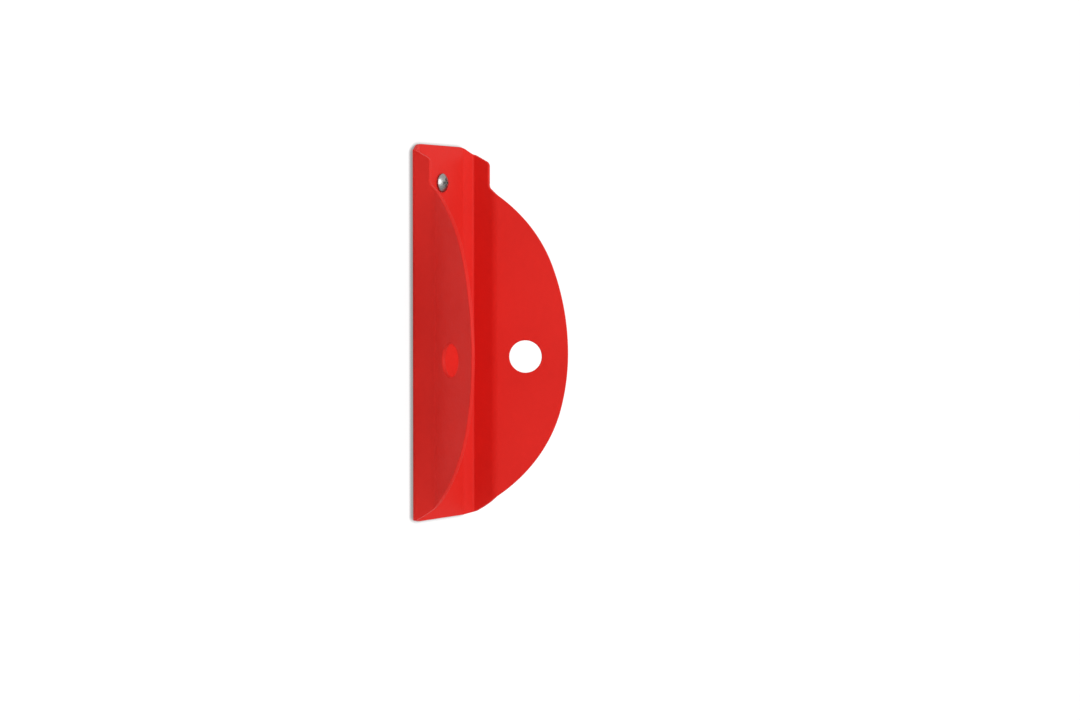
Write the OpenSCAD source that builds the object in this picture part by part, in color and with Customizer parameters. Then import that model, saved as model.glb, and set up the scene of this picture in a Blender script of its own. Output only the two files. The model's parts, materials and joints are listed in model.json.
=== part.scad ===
// Bicycle wall rack: one bent sheet-steel bracket on two screws in wall plugs.
// The back of the web lies on the wall plane y = 0, the front faces -Y, and
// the origin is midway between the two screws.

/* [Sheet] */
// Thickness of the steel sheet
sheet_t = 2.5; // [2:0.5:3]
// Height of the bracket
rack_h = 250; // [240:5:270]

/* [Web and side walls] */
// Width of the flat web that lies on the wall
web_w = 53.6; // [50:0.2:56]
// Clear width between the side walls, at the bends where they leave the web
bulge_w = 70.8; // [69:0.2:74]
// How far those bends stand in front of the web
bulge_rise = 2.9; // [2:0.1:4]
// Inside radius of the two sharp bends on each side
crease_r = 1.5; // [1:0.5:2.5]
// Clear gap between the side walls at the neck
neck_gap = 70; // [66:1:74]
// Depth of the neck in front of the web
neck_depth = 17; // [15:0.5:20]

/* [Wings] */
// Angle between a wing and the wall
wing_angle = 61; // [57:1:65]
// Depth of the wing's tip in front of the web
wing_depth = 63.6; // [60:0.2:66]
// Inside radius of the bend between a side wall and its wing
wing_bend_r = 8; // [6:1:10]
// Height of the wing's tip below the middle of the bracket
wing_drop = 15; // [10:1:18]
// Radius of the wing's outline just above its tip
upper_tip_r = 195; // [185:5:205]
// Height above the tip at which that radius ends
upper_tip_h = 60; // [55:1:64]
// Radius of the upper rest of the wing's outline
upper_r = 102; // [98:1:106]
// Radius of the wing's outline just below its tip
lower_tip_r = 170; // [165:5:190]
// Height below the tip at which that radius ends
lower_tip_h = 38; // [36:1:42]

/* [Ears] */
// Depth of an ear's front edge in front of the web, just short of the neck
ear_depth = 15; // [14.5:0.5:16]
// Slope of the top edge along the sheet, from the web's edge to the ear's corner
ear_slope = 27; // [22:1:32]
// Rounding where the top edge turns down at the web's edge
shoulder_r = 14; // [8:1:20]
// Rounding of the ear's corner
ear_r = 4; // [3:0.5:5]
// Rounding in the notch between an ear and its wing
notch_r = 3; // [2:0.5:4]

/* [Lock holes] */
// Diameter of the hole in each wing
lock_hole_d = 22; // [18:1:26]
// Distance of the hole's centre from the wing's tip edge, along the sheet
lock_hole_inset = 29; // [24:1:34]
// Height of the hole's centre below the middle of the bracket
lock_hole_drop = 17; // [10:1:24]

/* [Screws and plugs] */
// Distance of each screw from its end of the bracket
screw_inset = 25; // [20:1:35]
// Diameter of the screws over their thread
screw_d = 6; // [5:0.5:6.5]
// Length of the screws under the head
screw_l = 60; // [50:5:70]
// Diameter of the pan head
head_d = 12.5; // [12:0.5:14]
// Height of the pan head
head_h = 3.8; // [3.5:0.1:4.5]
// Outside diameter of the wall plugs
plug_d = 10; // [9:0.5:10.5]
// Length of the wall plugs
plug_l = 50; // [40:5:60]
// Room around a plug in the bracket's screw hole, so it can go in through it
hole_gap = 0.1; // [0.1:0.05:0.25]

/* [Hidden] */
$fn = 96;

steel_red = [0.86, 0.18, 0.18];
zinc = [0.75, 0.76, 0.78];
nylon = [0.62, 0.63, 0.65];

past = 1;                       // how far a cutter runs past what it cuts
screw_z = rack_h / 2 - screw_inset;
screw_hole_d = plug_d + 2 * hole_gap;

// Unit vector at an angle, and points on an arc between two angles
function along(angle) = [cos(angle), sin(angle)];
function arc(centre, r, from, to, steps) =
    [for (i = [0:steps]) centre + r * along(from + (to - from) * i / steps)];
function backwards(points) = [for (i = [len(points) - 1:-1:0]) points[i]];
function other_side(points) = [for (p = points) [-p[0], p[1]]];

// The front face of the right half, as [width, depth] in front of the web,
// from the web outwards: flat facet, side wall, round neck, flat wing
bend_steps = 8;
web_edge = [web_w / 2, 0];
bulge = [bulge_w / 2, bulge_rise];
facet_angle = atan2(bulge[1] - web_edge[1], bulge[0] - web_edge[0]);
neck_r = wing_bend_r + sheet_t;
neck_centre = [neck_gap / 2 + neck_r, neck_depth];
to_neck = neck_centre - bulge;
wall_angle = atan2(to_neck[1], to_neck[0]) + asin(neck_r / norm(to_neck));
wing_start = neck_centre + neck_r * along(wing_angle + 90);
wing_l = (wing_depth - wing_start[1]) / sin(wing_angle);
wing_end = wing_start + wing_l * along(wing_angle);

// Centre of a crease: the corner of the two flat runs, moved to their bend
function crease_centre(corner, before, after) =
    corner + crease_r / cos((after - before) / 2) * along((before + after) / 2 + 90);

// One face of the sheet, a distance behind its front face
function face(behind) = concat(
    arc(crease_centre(web_edge, 0, facet_angle), crease_r + behind,
        -90, facet_angle - 90, bend_steps),
    arc(crease_centre(bulge, facet_angle, wall_angle), crease_r + behind,
        facet_angle - 90, wall_angle - 90, bend_steps),
    arc(neck_centre, neck_r - behind, wall_angle + 90, wing_angle + 90, bend_steps),
    [wing_end + behind * along(wing_angle - 90) + past * along(wing_angle)]);

module section() {
    front = face(0);
    back = face(sheet_t);
    polygon(concat(front, backwards(back), other_side(back), backwards(other_side(front))));
}

// The wing's outline, as [depth, height]: an arc above and below the tip,
// each carried on by a tighter arc that leaves it smoothly
outline_steps = 16;
tip = [wing_depth, -wing_drop];
upper_turn = asin(upper_tip_h / upper_tip_r);
lower_turn = asin(lower_tip_h / lower_tip_r);
upper_tip_centre = tip - [upper_tip_r, 0];
lower_tip_centre = tip - [lower_tip_r, 0];
upper_centre = upper_tip_centre + (upper_tip_r - upper_r) * along(upper_turn);

// The lower one has the radius that ends it at the web's bottom edge
lower_join = lower_tip_centre + lower_tip_r * along(-lower_turn);
to_bottom = [0, -rack_h / 2] - lower_join;
lower_r = -to_bottom * to_bottom / (2 * to_bottom * along(-lower_turn));
lower_centre = lower_join - lower_r * along(-lower_turn);
function lower_turn_at(depth) = -acos((depth - lower_centre[0]) / lower_r);

// The top edge falls at one slope along the sheet, over the facet to the bulge
// and along the side wall to the ear's rounded corner
shoulder_z = rack_h / 2 - norm(bulge - web_edge) * tan(ear_slope);
shoulder_angle = atan2(rack_h / 2 - shoulder_z, bulge[0] - web_edge[0]);
ear_angle = atan2(tan(ear_slope), sin(wall_angle));
ear_centre = [ear_depth - ear_r,
              shoulder_z - (ear_depth - ear_r - bulge_rise) * tan(ear_angle)
              - ear_r / cos(ear_angle)];

// A rounded notch parts the ear from the wing
notch_x = ear_depth + notch_r;
notch_centre = [notch_x, upper_centre[1] + sqrt(pow(upper_r + notch_r, 2)
                                                - pow(notch_x - upper_centre[0], 2))];
notch_out = upper_centre - notch_centre;
notch_angle = atan2(notch_out[1], notch_out[0]) + 360;

// Web, side walls and ears from the side, as [depth, height]
module wall_outline() {
    polygon(concat(
        arc(lower_centre, lower_r, lower_turn_at(0), lower_turn_at(ear_depth), outline_steps),
        arc(ear_centre, ear_r, 0, 90 - ear_angle, bend_steps),
        [[bulge_rise, shoulder_z], [bulge_rise, rack_h / 2],
         [-ear_depth, rack_h / 2], [-ear_depth, -rack_h / 2]]));
}

// How far along the wing's plane the front face lies at a depth, from the
// line where the neck's bend turns into the flat wing
function neck_x(depth) = neck_centre[0] - sqrt(pow(neck_r, 2) - pow(depth - neck_depth, 2));
function along_wing(depth) = depth < wing_start[1]
    ? ([neck_x(depth), depth] - wing_start) * along(wing_angle)
    : (depth - wing_start[1]) / sin(wing_angle);

// The wing in its own plane, as [distance along it, height]; it starts a
// little inside the side wall, within the wall's own outline
module wing_outline() {
    inside = ear_depth - past;
    outline = concat(
        [[inside, -rack_h / 4]],
        arc(lower_centre, lower_r, lower_turn_at(ear_depth), -lower_turn, 2 * outline_steps),
        arc(lower_tip_centre, lower_tip_r, -lower_turn, 0, outline_steps),
        arc(upper_tip_centre, upper_tip_r, 0, upper_turn, outline_steps),
        arc(upper_centre, upper_r, upper_turn, notch_angle - 180, outline_steps),
        arc(notch_centre, notch_r, notch_angle, 180, bend_steps),
        [[inside, rack_h / 4]]);
    polygon([for (p = outline) [along_wing(p[0]), p[1]]]);
}

// Places a shape in both wings' planes, with +Z out of the front face
module on_wings() {
    for (side = [0, 1]) mirror([side, 0, 0])
        translate([wing_start[0], -sheet_t - wing_start[1], 0])
            rotate([0, 0, -wing_angle]) rotate([90, 0, 0]) children();
}

// The outline from the front, as [width, height]: the top edge turns down at
// the web's edge and falls to the bulge, and the rest is wider than the wings
module front_outline() {
    turn_l = shoulder_r * tan(shoulder_angle / 2);
    turn_centre = [web_edge[0] - turn_l, rack_h / 2 - shoulder_r];
    side = concat([[2 * wing_end[0], -rack_h / 2], [2 * wing_end[0], shoulder_z],
                   [bulge[0], shoulder_z]],
                  arc(turn_centre, shoulder_r, 90 - shoulder_angle, 90, outline_steps));
    polygon(concat(side, backwards(other_side(side))));
}

// Both wings' planes, deep enough to hold the neck's bend
behind_wing = neck_r * (1 - cos(90 - wing_angle)) + 2 * sheet_t;

module bracket() {
    color(steel_red) difference() {
        intersection() {
            translate([0, -sheet_t, -rack_h / 2]) mirror([0, 1, 0])
                linear_extrude(rack_h) section();
            rotate([90, 0, 0])
                linear_extrude(4 * wing_depth, center = true) front_outline();
            union() {
                translate([0, -sheet_t, 0]) rotate([90, 0, -90])
                    linear_extrude(4 * wing_end[0], center = true) wall_outline();
                on_wings() translate([0, 0, -behind_wing])
                    linear_extrude(behind_wing + past) wing_outline();
            }
        }
        on_wings() translate([wing_l - lock_hole_inset, -lock_hole_drop, 0])
            cylinder(d = lock_hole_d, h = 4 * sheet_t, center = true);
        for (side = [-1, 1]) translate([0, past, side * screw_z]) rotate([90, 0, 0])
            cylinder(d = screw_hole_d, h = sheet_t + 2 * past);
    }
}

// Screw along +Y, with its head's underside at y = 0
recess_w = head_d * 0.5;
recess_slot = head_d * 0.11;
recess_depth = head_h * 0.6;
rim_h = head_h * 0.35;
point_l = screw_d;
dome_r = (pow(head_d / 2, 2) + pow(head_h - rim_h, 2)) / (2 * (head_h - rim_h));

module screw() {
    color(zinc) {
        difference() {
            rotate([90, 0, 0]) intersection() {
                cylinder(d = head_d, h = head_h);
                translate([0, 0, head_h - dome_r]) sphere(dome_r);
            }
            for (turn = [0, 90]) rotate([0, turn, 0])
                translate([-recess_w / 2, -head_h - past, -recess_slot / 2])
                    cube([recess_w, recess_depth + past, recess_slot]);
        }
        rotate([-90, 0, 0]) {
            translate([0, 0, -head_h * 0.2])
                cylinder(d = screw_d, h = screw_l - point_l + head_h * 0.2);
            translate([0, 0, screw_l - point_l])
                cylinder(d1 = screw_d, d2 = screw_d * 0.2, h = point_l);
        }
    }
}

module screw_at(side) {
    translate([0, -sheet_t, side * screw_z]) screw();
}

module upper_screw() {
    screw_at(1);
}

module lower_screw() {
    screw_at(-1);
}

// Wall plug along +Y from the wall plane: a smooth collar, then a split body
// with grip rings
collar_l = plug_l * 0.3;
ring_pitch = plug_l * 0.08;
ring_groove = plug_l * 0.03;
groove_d = plug_d * 0.88;
split_w = plug_d * 0.14;
thread_gap = 0.1;

module wall_plug(side) {
    color(nylon) translate([0, 0, side * screw_z]) difference() {
        rotate([-90, 0, 0]) difference() {
            cylinder(d = plug_d, h = plug_l);
            for (z = [collar_l:ring_pitch:plug_l - ring_pitch])
                translate([0, 0, z]) difference() {
                    cylinder(d = plug_d + past, h = ring_groove);
                    translate([0, 0, -past]) cylinder(d = groove_d, h = ring_groove + 2 * past);
                }
            translate([0, 0, -past])
                cylinder(d = screw_d + 2 * thread_gap, h = plug_l + 2 * past);
        }
        translate([-plug_d, collar_l * 1.4, -split_w / 2])
            cube([2 * plug_d, plug_l, split_w]);
    }
}

module upper_wall_plug() {
    wall_plug(1);
}

module lower_wall_plug() {
    wall_plug(-1);
}

bracket();
upper_screw();
lower_screw();
upper_wall_plug();
lower_wall_plug();
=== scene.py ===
import json
import math

import bpy
import numpy as np
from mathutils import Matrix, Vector

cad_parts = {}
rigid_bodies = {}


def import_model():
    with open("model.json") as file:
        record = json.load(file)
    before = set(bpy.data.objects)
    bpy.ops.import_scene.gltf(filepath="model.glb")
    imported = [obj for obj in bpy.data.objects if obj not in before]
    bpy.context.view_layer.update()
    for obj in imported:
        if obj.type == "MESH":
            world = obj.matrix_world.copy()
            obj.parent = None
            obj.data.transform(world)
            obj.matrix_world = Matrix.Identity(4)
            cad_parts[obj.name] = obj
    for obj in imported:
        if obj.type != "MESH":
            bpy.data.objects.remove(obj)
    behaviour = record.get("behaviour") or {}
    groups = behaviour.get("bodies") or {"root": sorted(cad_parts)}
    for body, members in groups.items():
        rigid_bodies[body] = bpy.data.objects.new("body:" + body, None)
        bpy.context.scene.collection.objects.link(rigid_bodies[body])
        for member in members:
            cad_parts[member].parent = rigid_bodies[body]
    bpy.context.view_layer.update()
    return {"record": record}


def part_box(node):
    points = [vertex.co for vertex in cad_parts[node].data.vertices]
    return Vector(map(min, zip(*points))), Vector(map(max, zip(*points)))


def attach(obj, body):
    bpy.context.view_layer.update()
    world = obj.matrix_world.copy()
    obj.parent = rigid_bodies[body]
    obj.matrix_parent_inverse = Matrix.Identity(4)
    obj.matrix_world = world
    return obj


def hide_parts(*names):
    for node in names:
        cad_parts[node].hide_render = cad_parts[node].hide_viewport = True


for left_over in list(bpy.data.objects):
    bpy.data.objects.remove(left_over)
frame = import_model()

# ---------------------------------------------------------------- sizes, in metres

mounts = {mount["name"]: mount for mount in frame["record"]["mounts"]}
lock_hole = mounts["right_lock_hole"]
bracket_low, bracket_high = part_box("bracket")

sheet = lock_hole["dims"]["length_mm"] / 1000      # thickness of the steel
half_height = bracket_high.z
edge_round = 0.00055                               # rounding of every cut edge

web_half = 0.0268
bulge = np.array([0.0354, 0.0029])                 # [width, depth in front of the web]
crease_radius = 0.0015
neck_half, neck_depth = 0.035, 0.017
neck_radius = 0.008 + sheet                        # of the front face, round the bend's outside
wing_angle = math.atan2(-lock_hole["axis"][0], -lock_hole["axis"][1])
wing_depth = -bracket_low.y - sheet

tip_z = -0.015                                     # height at which the wings reach furthest
upper_tip_radius, upper_tip_rise = 0.195, 0.060    # arc above the tip, and how far up it goes
upper_radius = 0.102                               # arc from there to the notch
lower_tip_radius, lower_tip_drop = 0.170, 0.038

ear_depth, ear_corner = 0.015, 0.004
ear_slope = math.radians(27)
shoulder_radius = 0.014                            # rounding where the ear's slope starts
notch_radius = 0.003

screw_hole_clearance = 0.0001
sharp_over = math.radians(32)                    # edges of turned pieces stay sharp over this


# ---------------------------------------------------------------- the bent section

def toward(angle):
    """Unit vector at an angle."""
    return np.array([math.cos(angle), math.sin(angle)])


def angle_of(vector):
    """Angle of a vector."""
    return math.atan2(vector[1], vector[0])


facet_angle = angle_of(bulge - [web_half, 0])
facet_length = float(np.linalg.norm(bulge - [web_half, 0]))
neck_centre = np.array([neck_half + neck_radius, neck_depth])
to_neck = neck_centre - bulge
neck_distance = float(np.linalg.norm(to_neck))
wall_angle = angle_of(to_neck) + math.asin(neck_radius / neck_distance)
wall_length = math.sqrt(neck_distance ** 2 - neck_radius ** 2)
wing_start = neck_centre + neck_radius * toward(wing_angle + math.pi / 2)
wing_length = (wing_depth - wing_start[1]) / math.sin(wing_angle)

turn_in = crease_radius * math.tan(facet_angle / 2)
turn_out = crease_radius * math.tan((wall_angle - facet_angle) / 2)
run_lengths = np.array([
    web_half - turn_in,                            # half the flat web
    crease_radius * facet_angle,                   # first crease
    facet_length - turn_in - turn_out,             # narrow facet
    crease_radius * (wall_angle - facet_angle),    # second crease
    wall_length - turn_out,                        # side wall
    neck_radius * (wall_angle - wing_angle),       # round neck
    wing_length])                                  # flat wing
run_turns = np.array([0, facet_angle, 0, wall_angle - facet_angle, 0, wing_angle - wall_angle, 0])
run_starts = np.concatenate([[0], np.cumsum(run_lengths)[:-1]])
run_angles = np.concatenate([[0], np.cumsum(run_turns)[:-1]])


def chord(length, turn, angle):
    """Straight step over an arc of a length and turn that sets out at an angle: the arc's
    length times sin(turn/2) / (turn/2), at the angle half way round."""
    reach = length * np.sinc(turn / 2 / np.pi)
    return np.stack([reach * np.cos(angle + turn / 2), reach * np.sin(angle + turn / 2)], -1)


run_steps = chord(run_lengths, run_turns, run_angles)
run_points = np.concatenate([[[0, 0]], np.cumsum(run_steps, 0)[:-1]])


def bend(along, behind):
    """Where a point of the flat blank goes in the bent section, and the sine and cosine of the
    sheet's angle to the wall there. along is the distance from the middle over the front
    face, behind the distance into the sheet: each run is a straight line or an arc, and the
    left half mirrors the right."""
    side = np.where(along < 0, -1.0, 1.0)
    reach = np.abs(along)
    run = np.clip(np.searchsorted(run_starts, reach, side="right") - 1, 0, len(run_starts) - 1)
    step = reach - run_starts[run]
    turn = run_turns[run] * step / run_lengths[run]
    point = run_points[run] + chord(step, turn, run_angles[run])
    angle = run_angles[run] + turn
    width = point[..., 0] + behind * np.sin(angle)
    depth = point[..., 1] - behind * np.cos(angle)
    return side * width, -sheet - depth, side * np.sin(angle), np.cos(angle)


reach_table = np.linspace(run_starts[2], run_starts[-1] + wing_length, 4000)
depth_table = -sheet - bend(reach_table, 0 * reach_table)[1]


def reach_at(depth):
    """Distance over the front face at which the right half has a depth."""
    return np.interp(depth, depth_table, reach_table)


# ---------------------------------------------------------------- the blank's outline

def arc(centre, radius, start, end, steps):
    """Points on an arc between two angles."""
    angle = np.linspace(start, end, steps)
    return np.stack([centre[0] + radius * np.cos(angle), centre[1] + radius * np.sin(angle)], -1)


def on_blank(points):
    """Turns [depth, height] into [distance over the front face, height]."""
    return np.stack([reach_at(points[:, 0]), points[:, 1]], -1)


def inset(points, distance):
    """Moves a line of points to its left, square to the line: the mean direction of the two
    steps that meet at a point, turned a quarter."""
    step = np.diff(points, axis=0)
    step /= np.linalg.norm(step, axis=1)[:, None]
    mean = np.concatenate([step[:1], step[:-1] + step[1:], step[-1:]])
    mean /= np.linalg.norm(mean, axis=1)[:, None]
    return points + distance * np.stack([-mean[:, 1], mean[:, 0]], -1)


def outlines(steps=260):
    """Right half of the blank: the ear's top from its corner to the middle, the wing's edge from
    the tip to the notch, and the lower edge from the middle to the tip. Each is a chain of
    arcs, and the ear's top is one slope along the sheet between two roundings."""
    tip = np.array([wing_depth, tip_z])
    upper_turn = math.asin(upper_tip_rise / upper_tip_radius)
    lower_turn = -math.asin(lower_tip_drop / lower_tip_radius)
    upper_tip_centre = tip - [upper_tip_radius, 0]
    lower_tip_centre = tip - [lower_tip_radius, 0]
    upper_centre = upper_tip_centre + (upper_tip_radius - upper_radius) * toward(upper_turn)
    join = lower_tip_centre + lower_tip_radius * toward(lower_turn)
    to_bottom = np.array([0, -half_height]) - join
    lower_radius = -to_bottom @ to_bottom / (2 * to_bottom @ toward(lower_turn))
    lower_centre = join - lower_radius * toward(lower_turn)

    notch_x = ear_depth + notch_radius
    notch_centre = np.array([notch_x, upper_centre[1] + math.sqrt(
        (upper_radius + notch_radius) ** 2 - (notch_x - upper_centre[0]) ** 2)])
    notch_turn = angle_of(notch_centre - upper_centre)
    wing = np.concatenate([
        arc(upper_tip_centre, upper_tip_radius, 0, upper_turn, steps),
        arc(upper_centre, upper_radius, upper_turn, notch_turn, 3 * steps)[1:],
        arc(notch_centre, notch_radius, notch_turn - math.pi, -math.pi, steps)[1:]])

    bottom_turn = -math.acos(-lower_centre[0] / lower_radius)
    bottom = np.concatenate([
        arc(lower_centre, lower_radius, bottom_turn, lower_turn, 4 * steps),
        arc(lower_tip_centre, lower_tip_radius, lower_turn, 0, steps)[1:]])

    ear_reach = float(reach_at(ear_depth))
    shoulder_start = web_half - shoulder_radius * math.tan(ear_slope / 2)
    corner_reach = ear_reach - ear_corner
    corner_z = (half_height - (corner_reach - web_half) * math.tan(ear_slope)
                - ear_corner / math.cos(ear_slope))
    ear = np.concatenate([
        [[ear_reach, notch_centre[1]]],
        arc([corner_reach, corner_z], ear_corner, 0, math.pi / 2 - ear_slope, steps),
        arc([shoulder_start, half_height - shoulder_radius], shoulder_radius,
            math.pi / 2 - ear_slope, math.pi / 2, steps),
        [[0, half_height]]])
    lower = np.concatenate([[[0, -half_height]], on_blank(bottom)])
    return ear, on_blank(wing), lower


# ---------------------------------------------------------------- the bracket

def spread(start, end, step):
    """Evenly spaced values between two ends, no further apart than a step."""
    return np.linspace(start, end, int(math.ceil((end - start) / step)) + 1)


def bracket_columns(ear_edge, tip_edge):
    """Distances over the front face, from the middle to the wing's tip, at which the blank's
    grid has a column: close together in the bends, at the ear's edge and near the tip."""
    column_steps = (0.0015, 0.0001, 0.0013, 0.00033, 0.0015, 0.00075)
    base = np.concatenate(
        [spread(start, end, apart)
         for start, end, apart in zip(run_starts[:-1], run_starts[1:], column_steps)]
        + [run_starts[-1] + (tip_edge - run_starts[-1]) * np.sin(np.linspace(0, math.pi / 2, 60))])
    round_r = ear_corner - edge_round
    notch_r = notch_radius + edge_round
    turns = np.linspace(0, math.pi / 2, 9)
    special = np.concatenate([ear_edge - round_r * (1 - np.cos(turns)),
                              ear_edge + notch_r * (1 - np.cos(turns[1:]))])
    least_apart = 0.0003
    apart = np.abs(base[:, None] - special[None, :]).min(1) > least_apart
    clear = (base < special.min()) | (base > special.max()) | apart
    return np.unique(np.round(np.concatenate([base[clear], special]), 8))


def shell_from_blank(name, blank, quads, loops):
    """Closed sheet shell. Each face is the blank bent at its own depth in the sheet, and each
    edge loop carries a rounded profile: a quarter circle out from the front face, a straight
    cut, and a quarter circle back to the rear face."""
    count = len(blank)
    turns = np.linspace(0, math.pi / 2, 6)[1:]
    out = edge_round * np.sin(turns)
    into = edge_round * (1 - np.cos(turns))
    profile_out = np.concatenate([out, out[::-1]])
    profile_in = np.concatenate([into, sheet - into[::-1]])
    lean = np.concatenate([turns, turns[::-1]])
    facing = np.concatenate([-np.cos(turns), np.cos(turns[::-1])])

    along, height = [blank[:, 0]] * 2, [blank[:, 1]] * 2
    behind = [np.zeros(count), np.full(count, sheet)]
    outward = [np.zeros((count, 2))] * 2
    through = [-np.ones(count), np.ones(count)]
    faces = [quads, quads[:, ::-1] + count]
    total = 2 * count
    for loop in loops:
        points = blank[loop]
        step = np.roll(points, -1, 0) - points
        step /= np.linalg.norm(step, axis=1)[:, None]
        mean = step + np.roll(step, 1, 0)
        mean /= np.linalg.norm(mean, axis=1)[:, None]
        away = np.stack([mean[:, 1], -mean[:, 0]], -1)
        moved = points[None] + profile_out[:, None, None] * away[None]
        along.append(moved[..., 0].ravel())
        height.append(moved[..., 1].ravel())
        behind.append(np.repeat(profile_in, len(loop)))
        outward.append((np.sin(lean)[:, None, None] * away[None]).reshape(-1, 2))
        through.append(np.repeat(facing, len(loop)))
        rows = total + np.arange(len(profile_out) * len(loop)).reshape(-1, len(loop))
        rows = np.concatenate([loop[None], rows, loop[None] + count])
        after = np.roll(rows, -1, 1)
        faces.append(np.stack([rows[:-1], rows[1:], after[1:], after[:-1]], -1).reshape(-1, 4))
        total += len(profile_out) * len(loop)

    along, height, behind = map(np.concatenate, (along, height, behind))
    height = np.clip(height, -half_height, half_height)
    outward, through = np.concatenate(outward), np.concatenate(through)
    x, y, sine, cosine = bend(along, behind)
    verts = np.stack([x, y, height], -1)
    normals = np.stack([outward[:, 0] * cosine + through * sine,
                        through * cosine - outward[:, 0] * sine,
                        outward[:, 1]], -1)
    return make_piece(name, verts, np.concatenate(faces), normals)


def make_piece(name, verts, faces, normals=None, sharp_angle=None):
    """Smooth mesh object from arrays of corners and four-cornered faces, with given normals or
    with edges kept sharp over an angle. A face with a repeated corner becomes a triangle."""
    used, packed = np.unique(faces, return_inverse=True)
    faces = packed.reshape(faces.shape)
    repeated = faces == np.roll(faces, 1, 1)
    whole = faces[~repeated.any(1)]
    folded, dropped = np.nonzero(repeated)
    corners = (dropped[:, None] + [1, 2, 3]) % 4
    triangles = faces[folded[:, None], corners]
    mesh = bpy.data.meshes.new(name)
    mesh.from_pydata(verts[used].tolist(), [], whole.tolist() + triangles.tolist())
    mesh.shade_smooth()
    if normals is not None:
        mesh.normals_split_custom_set_from_vertices(normals[used].tolist())
    if sharp_angle is not None:
        mesh.set_sharp_from_angle(angle=sharp_angle)
    piece = bpy.data.objects.new(name, mesh)
    bpy.context.scene.collection.objects.link(piece)
    return piece


def hole_patch(blank, index, centre, radius, rings=4):
    """Fills a window of the grid round a hole: every point of the window's edge is joined by a
    straight line to the hole's edge at the same angle from the hole's centre. Gives the
    window, the points with those added, the new faces and the hole's edge."""
    margin = 0.0025
    column = np.argmin(np.abs(blank[index[0], 0] - centre[0]))
    left = np.searchsorted(blank[index[0], 0], centre[0] - radius - margin) - 1
    right = np.searchsorted(blank[index[0], 0], centre[0] + radius + margin)
    heights = blank[index[:, column], 1]
    low = np.searchsorted(heights, centre[1] - radius - margin) - 1
    high = np.searchsorted(heights, centre[1] + radius + margin)
    edge = np.concatenate([index[low, left:right], index[low:high, right],
                           index[high, right:left:-1], index[high:low:-1, left]])
    points = blank[edge]
    ray = points - centre
    rim = centre + ray * (radius / np.linalg.norm(ray, axis=1))[:, None]
    share = (np.arange(1, rings + 1) / rings)[:, None, None]
    added = (points + (rim - points) * share).reshape(-1, 2)
    rows = np.concatenate([edge[None], len(blank) + np.arange(len(added)).reshape(rings, -1)])
    after = np.roll(rows, -1, 1)
    quads = np.stack([rows[:-1], after[:-1], after[1:], rows[1:]], -1).reshape(-1, 4)
    return (low, high, left, right), np.concatenate([blank, added]), quads, rows[-1][::-1]


def make_bracket():
    """Sheet bracket: a flat blank on a grid of columns along the sheet and rows over its height,
    its lower part from edge to edge and its top part between the two ears, with a round patch
    at each hole, then bent and given its thickness."""
    ear, wing, lower = [inset(line, edge_round) for line in outlines()]
    ear_edge = float(reach_at(ear_depth)) - edge_round
    tip_edge = run_starts[-1] + wing_length - edge_round
    half = bracket_columns(ear_edge, tip_edge)
    columns = np.concatenate([-half[:0:-1], half])
    reach = np.abs(columns)

    split = float(wing[-1, 1])
    wing_top = np.interp(reach, wing[::-1, 0], wing[::-1, 1])
    ear_top = np.interp(reach, ear[:0:-1, 0], ear[:0:-1, 1])
    bottom = np.interp(reach, lower[:, 0], lower[:, 1])
    on_ears = reach <= ear_edge + 1e-9
    top = np.where(on_ears, split, wing_top)
    top[[0, -1]] = bottom[[0, -1]] = tip_z

    lower_rows, ear_rows = 150, 16
    share = np.linspace(0, 1, lower_rows + 1)[:, None]
    ear_share = np.linspace(0, 1, ear_rows + 1)[1:, None]
    rows = np.concatenate([bottom + (top - bottom) * share,
                           split + (np.where(on_ears, ear_top, split) - split) * ear_share])
    blank = np.stack([np.broadcast_to(columns, rows.shape), rows], -1).reshape(-1, 2)
    index = np.arange(rows.size).reshape(rows.shape)
    index[:lower_rows + 1, 0] = index[0, 0]
    index[:lower_rows + 1, -1] = index[0, -1]

    solid = np.ones((rows.shape[0] - 1, rows.shape[1] - 1), bool)
    solid[lower_rows:] = (on_ears[:-1] & on_ears[1:])[None]
    hole_reach = run_starts[-1] + float(
        (np.array([lock_hole["pos_m"][0], -sheet - lock_hole["pos_m"][1]]) - wing_start)
        @ toward(wing_angle))
    screw_radius = mounts["upper_plug"]["dims"]["r_mm"] / 1000 + screw_hole_clearance
    lock_radius = lock_hole["dims"]["r_mm"] / 1000
    holes = [((0.0, mounts[name]["pos_m"][2]), screw_radius)
             for name in ("upper_plug", "lower_plug")]
    holes += [((side * hole_reach, lock_hole["pos_m"][2]), lock_radius) for side in (-1, 1)]
    patches, loops = [], []
    for centre, radius in holes:
        (low, high, left, right), blank, quads, rim = hole_patch(
            blank, index, np.array(centre), radius + edge_round)
        solid[low:high, left:right] = False
        patches.append(quads)
        loops.append(rim)

    cells = np.stack([index[:-1, :-1], index[:-1, 1:], index[1:, 1:], index[1:, :-1]], -1)[solid]
    first, last = np.flatnonzero(on_ears)[[0, -1]]
    notch_row, top_row = lower_rows, lower_rows + ear_rows
    outer = np.concatenate([
        index[0, :], index[notch_row, -2:last:-1], index[notch_row:top_row, last],
        index[top_row, last:first:-1], index[top_row:notch_row:-1, first],
        index[notch_row, first:0:-1]])
    faces = np.concatenate([cells] + patches)
    return shell_from_blank("bent_bracket", blank, faces, [outer] + loops)


# ---------------------------------------------------------------- screws and wall plugs

across_arm, across_island = np.linspace(0, 1, 5), np.linspace(0, 1, 7)
thread_start, pitch = 0.014, 0.0024
shank_radius, core_radius, ridge_radius = 0.0029, 0.0021, 0.003
point_length, point_radius = 0.006, 0.0005


def smooth_step(value):
    """Eases from 0 to 1 as a value goes from 0 to 1: 3 v squared less 2 v cubed."""
    value = np.clip(value, 0, 1)
    return value * value * (3 - 2 * value)


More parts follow.
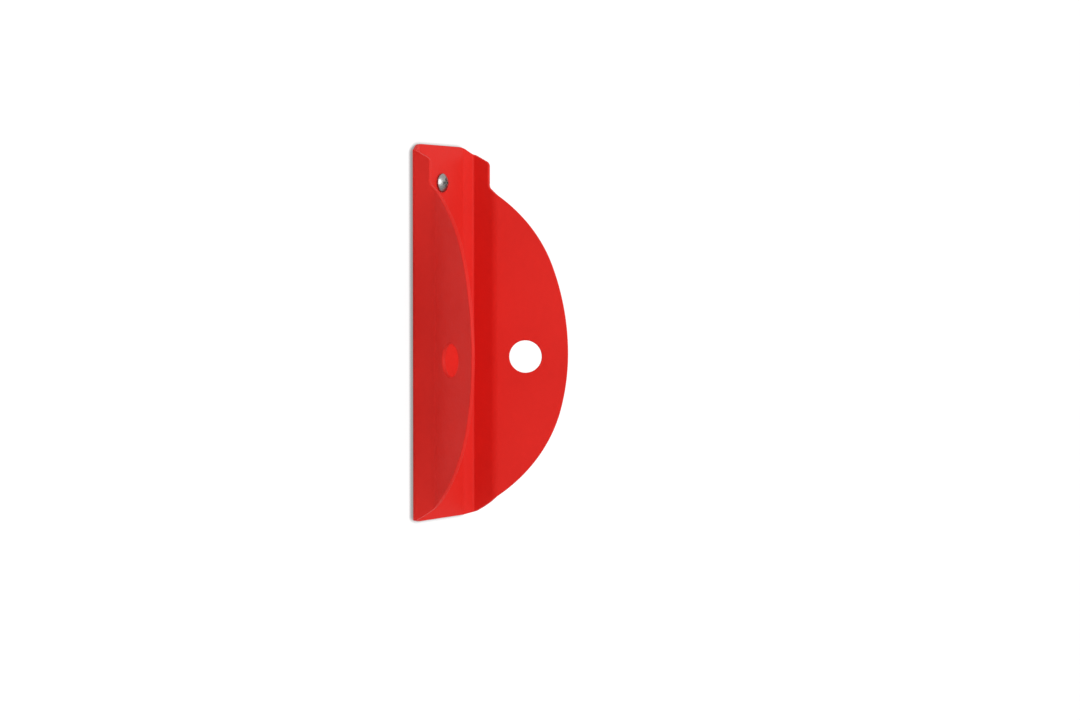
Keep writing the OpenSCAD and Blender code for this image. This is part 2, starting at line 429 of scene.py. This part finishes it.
def closed_round(grid, start, first=True, last=True):
    """Faces of a grid of corners numbered from start, joined round its columns, with its first
    and last rows drawn to a point where asked."""
    rows, columns = grid
    index = start + np.arange(rows * columns).reshape(rows, columns)
    if first:
        index[0] = index[0, 0]
    if last:
        index[-1] = index[-1, 0]
    after = np.roll(index, -1, 1)
    return np.stack([index[:-1], after[:-1], after[1:], index[1:]], -1).reshape(-1, 4)


def recess_turns(head_rings, arm_reach):
    """Angles of the head's columns, a row to each ring. In a quarter turn, 5 columns cross an
    arm of the cross recess and 7 the head between two arms. An arm's side is at the angle
    whose sine is half the arm's width over the ring's radius, held back near the middle so
    that no columns meet. Outside the recess the columns ease to even steps."""
    floor_half, mouth_half = 0.00058, 0.00072      # half the arm's width, below and above
    ring = np.maximum(head_rings, 1e-5)[:, None]
    floor_angle = np.minimum(np.arcsin(np.minimum(floor_half / ring, 0.55)), math.radians(33))
    mouth_angle = np.minimum(np.arcsin(np.minimum(mouth_half / ring, 0.66)), math.radians(40))
    quarter = np.concatenate([floor_angle * (2 * across_arm - 1),
                              mouth_angle + (math.pi / 2 - 2 * mouth_angle) * across_island], 1)
    columns = quarter.shape[1]
    even = (np.arange(columns) - len(across_arm) // 2) / columns * math.pi / 2
    ease = smooth_step((head_rings - arm_reach) / 0.002)[:, None]
    quarter = quarter * (1 - ease) + even * ease
    return np.concatenate([quarter + k * math.pi / 2 for k in range(4)], 1)


def recess_floor(head_rings, arm_reach):
    """Heights of the recess's floor, a row to each ring: a level that climbs from the middle to
    the arm's end, with a V across each arm that eases in over the first 1 mm."""
    middle, climb, v_rise, v_whole = 0.0006, 0.0017, 0.0005, 0.001
    level = middle + climb * np.minimum(head_rings / arm_reach, 1)
    v_shape = np.concatenate([v_rise * np.abs(2 * across_arm - 1), 0 * across_island])
    return level[:, None] + np.tile(v_shape, 4) * smooth_step(head_rings / v_whole)[:, None]


def shank_radii(depths, turn, length):
    """Radii of the shank, a row to each depth: plain, then a core with a V ridge that climbs one
    pitch in each turn. The ridge grows in over the first turn, and core and ridge run out
    into the point."""
    narrowing = 1 - smooth_step((depths - thread_start) / 0.001)
    core = core_radius + (shank_radius - core_radius) * narrowing
    to_point = np.clip((length - depths) / point_length, 0, 1)
    core = point_radius + (core - point_radius) * to_point
    full = (smooth_step((depths - thread_start) / pitch) * (ridge_radius - core_radius)
            * np.clip((length - depths) / point_length * 1.15, 0, 1))
    phase = (depths[:, None] / pitch - turn / (2 * math.pi)) % 1
    ridge = np.clip(1.12 - np.abs(phase - 0.5) / 0.24, 0, 1)
    return core[:, None] + full[:, None] * ridge


def make_screw(name, node):
    """Pan-head screw along +Y on a grid of rings and 48 columns. Each ring is a radius and a
    height over the head's underside: a sphere with a cross recess, a rim rounded above and
    below, a fillet under the head, and the threaded shank."""
    low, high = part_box(node)
    axis_z = (low.z + high.z) / 2
    head_radius, head_height = (high.x - low.x) / 2, -low.y - sheet
    length = high.y + sheet
    rim_height = 0.35 * head_height
    rise = head_height - rim_height
    dome_radius = (head_radius ** 2 + rise ** 2) / (2 * rise)
    arm_reach = head_radius / 2

    head_rings = np.array([0, 0.0002, 0.0005, 0.00095, 0.00104, 0.0014, 0.0019, 0.0025,
                           arm_reach - 0.0001, arm_reach + 0.00005, 0.0036, 0.0042, 0.0048,
                           0.0054, 0.0058, 0.0061])
    turns = recess_turns(head_rings, arm_reach)
    columns = turns.shape[1]
    quarter_columns = len(across_arm) + len(across_island)
    in_arm = np.tile(np.arange(quarter_columns) < len(across_arm), 4)
    sunk = np.where(in_arm, head_rings[:, None] < arm_reach, head_rings[:, None] < 0.001)
    dome = head_height - dome_radius + np.sqrt(dome_radius ** 2 - head_rings ** 2)
    head = np.where(sunk, recess_floor(head_rings, arm_reach), dome[:, None])

    edge = np.linspace(0, math.pi / 2, 5)
    upper_round, lower_round = 0.00012, 0.00025
    rim_radius = np.concatenate([head_radius - upper_round * (1 - np.sin(edge)),
                                 head_radius - lower_round * (1 - np.cos(edge))])
    rim_heights = np.concatenate([rim_height - upper_round + upper_round * np.cos(edge),
                                  lower_round * (1 - np.sin(edge))])
    fillet = np.array([[0.0034, 0], [0.0031, -0.00006], [0.0029, -0.0003]])
    depths = np.concatenate([spread(0.0005, thread_start, 0.002)[:-1],
                             spread(thread_start, length - 0.0002, 0.00015)])
    shank = shank_radii(depths, turns[-1], length)

    radius = np.concatenate([np.broadcast_to(head_rings[:, None], head.shape),
                             np.repeat(rim_radius[:, None], columns, 1),
                             np.repeat(fillet[:, :1], columns, 1), shank,
                             np.zeros((1, columns))])
    height = np.concatenate([head, np.repeat(rim_heights[:, None], columns, 1),
                             np.repeat(fillet[:, 1:], columns, 1),
                             np.repeat(-depths[:, None], columns, 1),
                             np.full((1, columns), -length)])
    turn = np.concatenate([turns, np.repeat(turns[-1:], len(radius) - len(turns), 0)])
    verts = np.stack([radius * np.cos(turn), -sheet - height,
                      axis_z + radius * np.sin(turn)], -1)
    faces = closed_round(radius.shape, 0)[:, ::-1]
    piece = make_piece(name, verts.reshape(-1, 3), faces, sharp_angle=sharp_over)
    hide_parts(node)
    return piece


def rib_radius(depth, collar, plain, groove, pitch=0.004):
    """Outside radius of a plug along its depth: plain over the collar, then one rib to each
    pitch, with a steep face, a flat groove and a ramp back up."""
    phase = ((depth - collar) / pitch) % 1
    rib = np.interp(phase, [0, 0.04, 0.34, 0.52, 1], [plain, groove, groove, plain, plain])
    return np.where(depth < collar, plain, rib)


def make_plug(name, node):
    """Wall plug along +Y: a ring turned round its axis, then two jaws either side of a level
    split. A jaw is a half-ring section, an outer arc and an inner arc back, carried along the
    depth with a ribbed outer radius that tapers at the end."""
    low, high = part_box(node)
    axis_z = (low.z + high.z) / 2
    plain, length = (high.x - low.x) / 2, high.y - low.y
    groove, bore, split_half = 0.88 * plain, 0.0031, 0.0007
    rim_cut, mouth, mouth_flare = 0.0003, 0.0004, 1.5
    taper_length, taper_in = 0.005, 0.0009
    collar, split_start = 0.3 * length, 0.42 * length

    depth = np.unique(np.concatenate([spread(0, split_start + 0.0005, 0.0002),
                                      [0.0001, rim_cut]]))
    outside = rib_radius(depth, collar, plain, groove) - np.clip(rim_cut - depth, 0, 1)
    inside = bore + np.clip(mouth - depth, 0, 1) * mouth_flare
    profile = np.concatenate([np.stack([outside, depth], -1), np.stack([inside, depth], -1)[::-1]])
    turn = np.linspace(0, 2 * math.pi, 65)[:-1]
    radius, deep = profile[:, :1], np.repeat(profile[:, 1:], len(turn), 1)
    ring = np.stack([radius * np.cos(turn), low.y + deep, axis_z + radius * np.sin(turn)], -1)
    ring_index = np.arange(ring.shape[0] * ring.shape[1]).reshape(ring.shape[:2])
    ring_index = np.concatenate([ring_index, ring_index[:1]])
    ring_after = np.roll(ring_index, -1, 1)
    faces = [np.stack([ring_index[:-1], ring_index[1:], ring_after[1:], ring_after[:-1]], -1)
             .reshape(-1, 4)]
    verts = [ring.reshape(-1, 3)]
    total = len(verts[0])

    deep = spread(split_start, length, 0.0002)
    taper = np.clip((deep - (length - taper_length)) / taper_length, 0, 1)
    outer = rib_radius(deep, collar, plain, groove) - taper_in * taper ** 1.5
    inner = np.full_like(outer, bore)
    share = np.linspace(0, 1, 25)
    for side in (0, 1):
        arcs = []
        for arc_radius, steps in ((outer, share), (inner, share[::-1])):
            edge = np.arcsin(split_half / arc_radius)[:, None]
            turn = edge + (math.pi - 2 * edge) * steps + side * math.pi
            arcs.append(np.stack([arc_radius[:, None] * np.cos(turn),
                                  np.repeat(low.y + deep[:, None], len(steps), 1),
                                  axis_z + arc_radius[:, None] * np.sin(turn)], -1))
        jaw = np.concatenate(arcs, 1)
        faces.append(closed_round(jaw.shape[:2], total, False, False)[:, ::-1])
        index = total + np.arange(jaw.shape[0] * jaw.shape[1]).reshape(jaw.shape[:2])
        half = len(share)
        for row, order in ((index[0], 1), (index[-1], -1)):
            cap = np.stack([row[:half - 1], row[1:half], row[:half - 1:-1][1:], row[:half:-1]], -1)
            faces.append(cap[:, ::order])
        verts.append(jaw.reshape(-1, 3))
        total += len(verts[-1])
    piece = make_piece(name, np.concatenate(verts), np.concatenate(faces),
                       sharp_angle=sharp_over)
    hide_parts(node)
    return piece


# ---------------------------------------------------------------- finishes

def new_material(name):
    """Empty node material with its shader and its object coordinates."""
    material = bpy.data.materials.new(name)
    material.use_nodes = True
    tree = material.node_tree
    shader = tree.nodes["Principled BSDF"]
    place = tree.nodes.new("ShaderNodeTexCoord")
    return material, tree, shader, place.outputs["Object"]


def noise(tree, place, size, detail=2.0, roughness=0.5):
    """Noise whose blotches are about a size across, in metres, from 0 to 1."""
    node = tree.nodes.new("ShaderNodeTexNoise")
    node.inputs["Scale"].default_value = 1 / size
    node.inputs["Detail"].default_value = detail
    node.inputs["Roughness"].default_value = roughness
    tree.links.new(place, node.inputs["Vector"])
    return node.outputs["Fac"]


def remap(tree, value, low, high, start=0.3, end=0.7):
    """Maps a value from one span to another, held at the ends."""
    node = tree.nodes.new("ShaderNodeMapRange")
    spans = {"From Min": start, "From Max": end, "To Min": low, "To Max": high}
    for socket, number in spans.items():
        node.inputs[socket].default_value = number
    tree.links.new(value, node.inputs["Value"])
    return node.outputs["Result"]


def greatest(tree, values):
    """Largest of several values."""
    result = values[0]
    for value in values[1:]:
        node = tree.nodes.new("ShaderNodeMath")
        node.operation = "MAXIMUM"
        tree.links.new(result, node.inputs[0])
        tree.links.new(value, node.inputs[1])
        result = node.outputs["Value"]
    return result


def blend_colours(tree, value, first, second):
    """Colour between two, by a value from 0 to 1."""
    node = tree.nodes.new("ShaderNodeMix")
    node.data_type = "RGBA"
    node.inputs["A"].default_value = (*first, 1)
    node.inputs["B"].default_value = (*second, 1)
    tree.links.new(value, node.inputs["Factor"])
    return node.outputs["Result"]


def bumps(tree, shader, layers):
    """Chain of bumps, each a height from 0 to 1 and its depth in metres."""
    normal = None
    for height, depth in layers:
        node = tree.nodes.new("ShaderNodeBump")
        node.inputs["Strength"].default_value = 1.0
        node.inputs["Distance"].default_value = depth
        tree.links.new(height, node.inputs["Height"])
        if normal is not None:
            tree.links.new(normal, node.inputs["Normal"])
        normal = node.outputs["Normal"]
    tree.links.new(normal, shader.inputs["Normal"])


def red_powder_coat():
    """Satin red powder coat: soft orange peel a few millimetres across over a fine grain, with
    slight drifts of colour and of gloss."""
    material, tree, shader, place = new_material("satin_red_powder_coat")
    drift = noise(tree, place, 0.05, 1.0)
    speckle = noise(tree, place, 0.0006, 2.0, 0.6)
    peel = noise(tree, place, 0.0026, 1.0, 0.4)
    grain = noise(tree, place, 0.0004, 2.0, 0.6)
    wide = blend_colours(tree, remap(tree, drift, 0, 1), (0.785, 0.0255, 0.0190),
                         (0.825, 0.0280, 0.0210))
    fine = tree.nodes.new("ShaderNodeMix")
    fine.data_type = "RGBA"
    fine.blend_type = "MULTIPLY"
    fine.inputs["Factor"].default_value = 1.0
    tree.links.new(wide, fine.inputs["A"])
    tree.links.new(blend_colours(tree, remap(tree, speckle, 0, 1), (0.965, 0.93, 0.93), (1, 1, 1)),
                   fine.inputs["B"])
    tree.links.new(fine.outputs["Result"], shader.inputs["Base Color"])
    gloss = noise(tree, place, 0.009, 2.0)
    tree.links.new(remap(tree, gloss, 0.36, 0.44), shader.inputs["Roughness"])
    shader.inputs["Specular IOR Level"].default_value = 0.09
    bumps(tree, shader, [(peel, 0.0001), (grain, 0.00001)])
    return material


def zinc_plate():
    """Bright zinc plate: fine rings round each screw's axis, faint pale and blue-grey clouds."""
    material, tree, shader, place = new_material("bright_zinc_plate")
    apart = tree.nodes.new("ShaderNodeSeparateXYZ")
    tree.links.new(place, apart.inputs["Vector"])
    height = tree.nodes.new("ShaderNodeMath")
    height.operation = "ABSOLUTE"
    tree.links.new(apart.outputs["Z"], height.inputs[0])
    centred = tree.nodes.new("ShaderNodeMath")
    centred.operation = "SUBTRACT"
    centred.inputs[1].default_value = mounts["upper_plug"]["pos_m"][2]
    tree.links.new(height.outputs["Value"], centred.inputs[0])
    together = tree.nodes.new("ShaderNodeCombineXYZ")
    tree.links.new(apart.outputs["X"], together.inputs["X"])
    tree.links.new(apart.outputs["Y"], together.inputs["Y"])
    tree.links.new(centred.outputs["Value"], together.inputs["Z"])
    rings = tree.nodes.new("ShaderNodeTexWave")
    rings.wave_type = "RINGS"
    rings.rings_direction = "Y"
    rings.inputs["Scale"].default_value = 900
    rings.inputs["Distortion"].default_value = 1.5
    rings.inputs["Detail"].default_value = 2
    rings.inputs["Detail Scale"].default_value = 2
    tree.links.new(together.outputs["Vector"], rings.inputs["Vector"])
    clouds = noise(tree, place, 0.004, 3.0)
    tree.links.new(blend_colours(tree, remap(tree, clouds, 0, 1), (0.27, 0.262, 0.253),
                                 (0.345, 0.34, 0.335)), shader.inputs["Base Color"])
    tree.links.new(remap(tree, noise(tree, place, 0.0015, 3.0), 0.24, 0.38),
                   shader.inputs["Roughness"])
    shader.inputs["Metallic"].default_value = 1.0
    bumps(tree, shader, [(rings.outputs["Fac"], 0.000008), (noise(tree, place, 0.0005), 0.00001)])
    return material


def grey_nylon():
    """Moulded grey nylon: a dull skin with a fine spark-eroded grain and faint flow marks."""
    material, tree, shader, place = new_material("moulded_grey_nylon")
    flow = noise(tree, place, 0.006, 2.0)
    tree.links.new(blend_colours(tree, remap(tree, flow, 0, 1), (0.235, 0.242, 0.255),
                                 (0.285, 0.293, 0.305)), shader.inputs["Base Color"])
    gloss = noise(tree, place, 0.002, 2.0)
    tree.links.new(remap(tree, gloss, 0.42, 0.56), shader.inputs["Roughness"])
    shader.inputs["Specular IOR Level"].default_value = 0.4
    bumps(tree, shader, [(noise(tree, place, 0.00035, 2.0, 0.7), 0.00002), (flow, 0.00005)])
    return material


# ---------------------------------------------------------------- the object

bracket = make_bracket()
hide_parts("bracket")
screws = [make_screw("upper_pan_screw", "upper_screw"),
          make_screw("lower_pan_screw", "lower_screw")]
plugs = [make_plug("upper_nylon_plug", "upper_wall_plug"),
         make_plug("lower_nylon_plug", "lower_wall_plug")]

bracket.data.materials.append(red_powder_coat())
zinc, nylon = zinc_plate(), grey_nylon()
for screw in screws:
    screw.data.materials.append(zinc)
for plug in plugs:
    plug.data.materials.append(nylon)
for piece in [bracket] + screws + plugs:
    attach(piece, "root")


# ---------------------------------------------------------------- wall, floor, light and camera

def plain_plane(name, corners):
    """Flat stage plane from its four corners, seen from the side that its corners turn
    anticlockwise on."""
    mesh = bpy.data.meshes.new(name)
    mesh.from_pydata(corners, [], [(0, 1, 2, 3)])
    plane = bpy.data.objects.new(name, mesh)
    bpy.context.scene.collection.objects.link(plane)
    return plane


def stage_paint(name, shade, seen, glow):
    """Matt paint of one shade to the light. The camera sees a second shade and a glow with a
    painted contact shadow: ambient occlusion darkens the glow within a few millimetres of the
    object. It is clear from behind, to lamps and to whatever is within 1 mm of it, so that the
    back of the object is lit."""
    # reach, darkest level and occlusion span of the painted contact shadow; clear_within lets rays
    # that start on the object pass
    painted_shadow_reach, painted_shadow_darkest, painted_shadow_span, clear_within = 0.0033, 0.35, (0.40, 0.92), 0.001
    material = bpy.data.materials.new(name)
    material.use_nodes = True
    tree = material.node_tree
    tree.nodes.clear()
    rays = tree.nodes.new("ShaderNodeLightPath")
    to_light, to_camera = (tree.nodes.new("ShaderNodeBsdfDiffuse") for _ in range(2))
    to_light.inputs["Color"].default_value = (shade, shade, shade, 1)
    to_camera.inputs["Color"].default_value = (seen, seen, seen, 1)
    nearness = tree.nodes.new("ShaderNodeAmbientOcclusion")
    nearness.inputs["Distance"].default_value = painted_shadow_reach
    # painted contact shadow: the glow the camera sees drops to about a third where ambient
    # occlusion finds the object close by
    painted_contact_shadow = remap(tree, nearness.outputs["AO"], painted_shadow_darkest * glow, glow, *painted_shadow_span)
    light = tree.nodes.new("ShaderNodeEmission")
    tree.links.new(painted_contact_shadow, light.inputs["Strength"])
    both = tree.nodes.new("ShaderNodeAddShader")
    tree.links.new(to_camera.outputs["BSDF"], both.inputs[0])
    tree.links.new(light.outputs["Emission"], both.inputs[1])
    paint = tree.nodes.new("ShaderNodeMixShader")
    tree.links.new(rays.outputs["Is Camera Ray"], paint.inputs["Fac"])
    tree.links.new(to_light.outputs["BSDF"], paint.inputs[1])
    tree.links.new(both.outputs["Shader"], paint.inputs[2])
    side = tree.nodes.new("ShaderNodeNewGeometry")
    touching = tree.nodes.new("ShaderNodeMath")
    touching.operation = "LESS_THAN"
    touching.inputs[1].default_value = clear_within
    tree.links.new(rays.outputs["Ray Length"], touching.inputs[0])
    through = greatest(tree, [side.outputs["Backfacing"], rays.outputs["Is Shadow Ray"],
                              touching.outputs["Value"]])
    clear = tree.nodes.new("ShaderNodeBsdfTransparent")
    mixed = tree.nodes.new("ShaderNodeMixShader")
    output = tree.nodes.new("ShaderNodeOutputMaterial")
    tree.links.new(through, mixed.inputs["Fac"])
    tree.links.new(paint.outputs["Shader"], mixed.inputs[1])
    tree.links.new(clear.outputs["BSDF"], mixed.inputs[2])
    tree.links.new(mixed.outputs["Shader"], output.inputs["Surface"])
    return material


floor_z, reach = -0.50, 8.0
wall_y = 0.0003                                    # just behind the bracket's back
wall = plain_plane("stage_wall", [(-reach, wall_y, floor_z), (reach, wall_y, floor_z),
                                  (reach, wall_y, reach), (-reach, wall_y, reach)])
# the wall's glow holds a painted contact shadow round the bracket
wall.data.materials.append(stage_paint("wall_paint", 0.80, 0.12, 0.95))
floor = plain_plane("stage_floor", [(-reach, -reach, floor_z), (reach, -reach, floor_z),
                                    (reach, reach, floor_z), (-reach, reach, floor_z)])
floor.data.materials.append(stage_paint("floor_paint", 0.85, 0.40, 0.72))

world = bpy.data.worlds.new("studio")
world.use_nodes = True
bpy.context.scene.world = world
sky = world.node_tree
background = sky.nodes["Background"]
background.inputs["Color"].default_value = (1, 1, 1, 1)
rays = sky.nodes.new("ShaderNodeLightPath")
seen = greatest(sky, [rays.outputs["Is Camera Ray"], rays.outputs["Is Glossy Ray"],
                      rays.outputs["Is Transmission Ray"]])
fill_light, seen_light = 0.48, 1.0
sky.links.new(remap(sky, seen, fill_light, seen_light, 0, 1), background.inputs["Strength"])


def softbox(name, place, aim, size, power):
    """Square area lamp at a place, turned toward an aim."""
    lamp = bpy.data.lights.new(name, "AREA")
    lamp.size, lamp.energy = size, power
    holder = bpy.data.objects.new(name, lamp)
    holder.location = place
    holder.rotation_euler = (Vector(aim) - Vector(place)).to_track_quat("-Z", "Y").to_euler()
    bpy.context.scene.collection.objects.link(holder)


softbox("key_softbox", (-0.6, -2.15, 0.45), (0, 0, 0), 1.5, 25)

azimuth, elevation, distance = math.radians(-57), math.radians(1.3), 1.7
back = Vector((math.sin(azimuth) * math.cos(elevation), -math.cos(azimuth) * math.cos(elevation),
               math.sin(elevation)))
aside = Vector((math.cos(azimuth), math.sin(azimuth), 0))
target = aside * 0.0681 - Vector((0, 0, 0.0188))
camera = bpy.data.objects.new("camera", bpy.data.cameras.new("camera"))
camera.data.lens = 84.3
camera.location = back * distance
camera.rotation_euler = (target - camera.location).to_track_quat("-Z", "Y").to_euler()
bpy.context.scene.collection.objects.link(camera)
bpy.context.scene.camera = camera
bpy.context.scene.view_settings.view_transform = "Standard"

bpy.context.view_layer.update()
